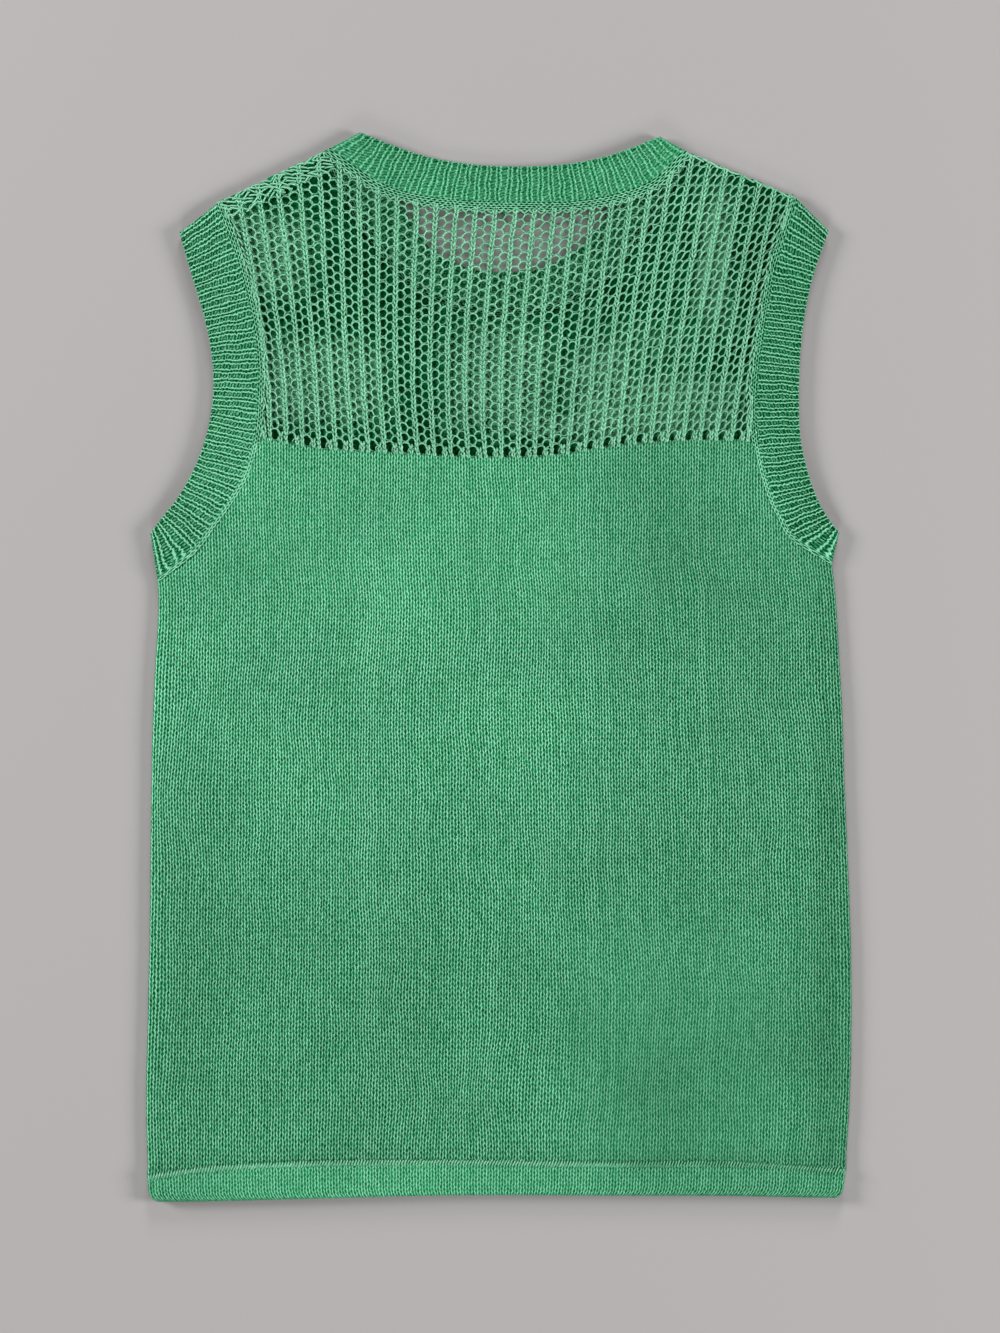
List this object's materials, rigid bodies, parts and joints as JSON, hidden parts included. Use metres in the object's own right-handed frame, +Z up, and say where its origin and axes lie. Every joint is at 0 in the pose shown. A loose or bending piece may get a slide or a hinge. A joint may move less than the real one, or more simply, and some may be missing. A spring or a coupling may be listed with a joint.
{
  "type": "knitted sweater vest",
  "caption": "Sleeveless round-neck knitted vest with an openwork yoke and ribbed bands, laid flat with its back up.",
  "frame": {"origin": "on the surface it lies on, under the middle of the garment's box", "axes": "+X across the garment, +Y from the hem to the neck, +Z up out of the cloth, so the back of the garment faces +Z"},
  "size_m": [0.4376, 0.6632, 0.0065],
  "materials": {
    "jersey_knit": "matte cotton yarn in plain knit",
    "openwork_knit": "matte cotton yarn in an even openwork net with vertical ribs",
    "rib_knit": "matte cotton yarn in rib"
  },
  "bodies": {
    "root": {"back_hem": "jersey_knit", "back_body": "jersey_knit", "back_yoke": "openwork_knit", "back_neck_band": "rib_knit", "back_armhole_band_left": "rib_knit", "back_armhole_band_right": "rib_knit", "front_hem": "jersey_knit", "front_body": "jersey_knit", "front_yoke": "openwork_knit", "front_neck_band": "rib_knit", "front_armhole_band_left": "rib_knit", "front_armhole_band_right": "rib_knit"}
  },
  "joints": []
}
